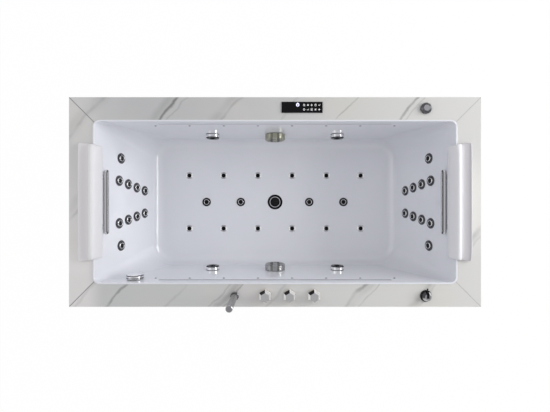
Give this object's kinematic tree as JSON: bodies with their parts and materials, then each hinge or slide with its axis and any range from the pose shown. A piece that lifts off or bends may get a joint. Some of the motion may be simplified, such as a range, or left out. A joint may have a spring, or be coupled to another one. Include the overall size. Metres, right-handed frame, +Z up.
{
  "type": "jetted bathtub",
  "caption": "Rectangular drop-in jetted bath with a marble deck, head pillows, grab bars, water and air jets, deck taps, hand shower and touch panel.",
  "frame": {"origin": "on the floor under the middle of the bath", "axes": "+X along the bath to its right end, +Y to its back edge (top of the picture), +Z up"},
  "size_m": [1.8, 0.916, 0.812],
  "materials": {
    "white_acrylic": "glossy vacuum-formed acrylic",
    "marble": "polished white marble with grey veins",
    "frame_paint": "grey powder coat",
    "steel": "zinc-plated steel",
    "pillow_foam": "soft white polyurethane skin",
    "chrome": "polished chrome",
    "brushed_metal": "satin brushed",
    "black_plastic": "glossy black",
    "grey_plastic": "moulded grey",
    "white_plastic": "moulded white",
    "pvc_pipe": "rigid white pipe",
    "brass": "cast and machined",
    "black_glass": "black printed touch glass",
    "motor_paint": "dark enamel"
  },
  "bodies": {
    "bath": {"tub_shell": "white_acrylic", "deck_slab_back": "marble", "deck_slab_front": "marble", "deck_slab_left": "marble", "deck_slab_right": "marble", "apron_front": "marble", "apron_back": "marble", "apron_left": "marble", "apron_right": "marble", "steel_frame": "frame_paint", "levelling_feet": "steel", "hex_nuts": "steel", "pillow_left": "pillow_foam", "pillow_right": "pillow_foam", "grab_bar_left": "chrome", "grab_bar_right": "chrome", "back_jet_bodies": "black_plastic", "floor_jet_bodies": "black_plastic", "jet_trim_rings": "chrome", "jet_nuts": "grey_plastic", "floor_air_nozzles": "chrome", "wall_air_nozzles": "chrome", "side_jet_bodies": "grey_plastic", "suction_bodies": "grey_plastic", "suction_covers": "brushed_metal", "waste_body": "chrome", "waste_pipe": "pvc_pipe", "overflow_body": "grey_plastic", "valve_bodies": "brass", "mixer_base": "chrome", "air_control_body": "chrome", "control_panel_glass": "black_glass", "control_panel_box": "grey_plastic", "hand_shower_holder": "chrome", "pump_motor": "motor_paint", "pump_volute": "grey_plastic", "air_blower": "grey_plastic", "control_box": "grey_plastic", "pressure_pipes": "pvc_pipe", "suction_pipe": "pvc_pipe", "air_pipes": "pvc_pipe"},
    "hand_shower": {"hand_shower": "chrome"},
    "hot_knob": {"hot_knob": "chrome"},
    "diverter_knob": {"diverter_knob": "chrome"},
    "cold_knob": {"cold_knob": "chrome"},
    "air_control_knob": {"air_control_knob": "brushed_metal"},
    "mixer_cap": {"mixer_cap": "chrome"},
    "mixer_lever": {"mixer_lever": "chrome"},
    "overflow_knob": {"overflow_knob": "chrome"},
    "drain_plug": {"drain_plug": "black_plastic"},
    "pump_impeller": {"pump_impeller": "white_plastic"},
    "bezel_back_left": {"side_jet_bezel_back_left": "chrome"},
    "eyeball_back_left": {"side_jet_eyeball_back_left": "black_plastic"},
    "bezel_back_right": {"side_jet_bezel_back_right": "chrome"},
    "eyeball_back_right": {"side_jet_eyeball_back_right": "black_plastic"},
    "bezel_front_left": {"side_jet_bezel_front_left": "chrome"},
    "eyeball_front_left": {"side_jet_eyeball_front_left": "black_plastic"},
    "bezel_front_right": {"side_jet_bezel_front_right": "chrome"},
    "eyeball_front_right": {"side_jet_eyeball_front_right": "black_plastic"}
  },
  "joints": [
    {"name": "hand_shower_lift", "type": "slide", "parent": "bath", "child": "hand_shower", "axis": [0, 0, 1], "range_m": [0, 0.25]},
    {"name": "hot_knob_turn", "type": "hinge", "parent": "bath", "child": "hot_knob", "pos_m": [-0.043, -0.41, 0.62], "axis": [0, 0, 1], "range_deg": [0, 90]},
    {"name": "diverter_knob_turn", "type": "hinge", "parent": "bath", "child": "diverter_knob", "pos_m": [0.063, -0.41, 0.62], "axis": [0, 0, 1], "range_deg": [-60, 60]},
    {"name": "cold_knob_turn", "type": "hinge", "parent": "bath", "child": "cold_knob", "pos_m": [0.169, -0.41, 0.62], "axis": [0, 0, 1], "range_deg": [0, 90]},
    {"name": "air_control_turn", "type": "hinge", "parent": "bath", "child": "air_control_knob", "pos_m": [0.658, 0.408, 0.61], "axis": [0, 0, 1], "range_deg": [0, 180]},
    {"name": "mixer_swivel", "type": "hinge", "parent": "bath", "child": "mixer_cap", "pos_m": [0.659, -0.41, 0.62], "axis": [0, 0, 1], "range_deg": [-45, 45]},
    {"name": "mixer_lever_tilt", "type": "hinge", "parent": "mixer_cap", "child": "mixer_lever", "pos_m": [0.659, -0.41, 0.6175], "axis": [1, 0, 0], "range_deg": [0, 25]},
    {"name": "overflow_turn", "type": "hinge", "parent": "bath", "child": "overflow_knob", "pos_m": [-0.635, -0.34894, 0.533], "axis": [0, 0.999, 0.0436], "range_deg": [0, 90]},
    {"name": "drain_plug_lift", "type": "slide", "parent": "bath", "child": "drain_plug", "axis": [0, 0, 1], "range_m": [0, 0.01]},
    {"name": "bezel_back_left_turn", "type": "hinge", "parent": "bath", "child": "bezel_back_left", "pos_m": [-0.314, 0.3403, 0.335], "axis": [0, -0.999, 0.0436], "range_deg": [-90, 90]},
    {"name": "eyeball_back_left_tilt", "type": "hinge", "parent": "bezel_back_left", "child": "eyeball_back_left", "pos_m": [-0.314, 0.3373, 0.33513], "axis": [1, 0, 0], "range_deg": [-10, 10]},
    {"name": "bezel_back_right_turn", "type": "hinge", "parent": "bath", "child": "bezel_back_right", "pos_m": [0.314, 0.3403, 0.335], "axis": [0, -0.999, 0.0436], "range_deg": [-90, 90]},
    {"name": "eyeball_back_right_tilt", "type": "hinge", "parent": "bezel_back_right", "child": "eyeball_back_right", "pos_m": [0.314, 0.3373, 0.33513], "axis": [1, 0, 0], "range_deg": [-10, 10]},
    {"name": "bezel_front_left_turn", "type": "hinge", "parent": "bath", "child": "bezel_front_left", "pos_m": [-0.314, -0.3403, 0.335], "axis": [0, 0.999, 0.0436], "range_deg": [-90, 90]},
    {"name": "eyeball_front_left_tilt", "type": "hinge", "parent": "bezel_front_left", "child": "eyeball_front_left", "pos_m": [-0.314, -0.3373, 0.33513], "axis": [1, 0, 0], "range_deg": [-10, 10]},
    {"name": "bezel_front_right_turn", "type": "hinge", "parent": "bath", "child": "bezel_front_right", "pos_m": [0.314, -0.3403, 0.335], "axis": [0, 0.999, 0.0436], "range_deg": [-90, 90]},
    {"name": "eyeball_front_right_tilt", "type": "hinge", "parent": "bezel_front_right", "child": "eyeball_front_right", "pos_m": [0.314, -0.3373, 0.33513], "axis": [1, 0, 0], "range_deg": [-10, 10]},
    {"name": "pump_impeller_spin", "type": "hinge", "parent": "bath", "child": "pump_impeller", "pos_m": [0.785, -0.09, 0.143], "axis": [0, 1, 0], "continuous": true}
  ],
  "couplings": [
    {"joint": "drain_plug_lift", "follows": "overflow_turn", "m_per_rad": 0.006366}
  ]
}
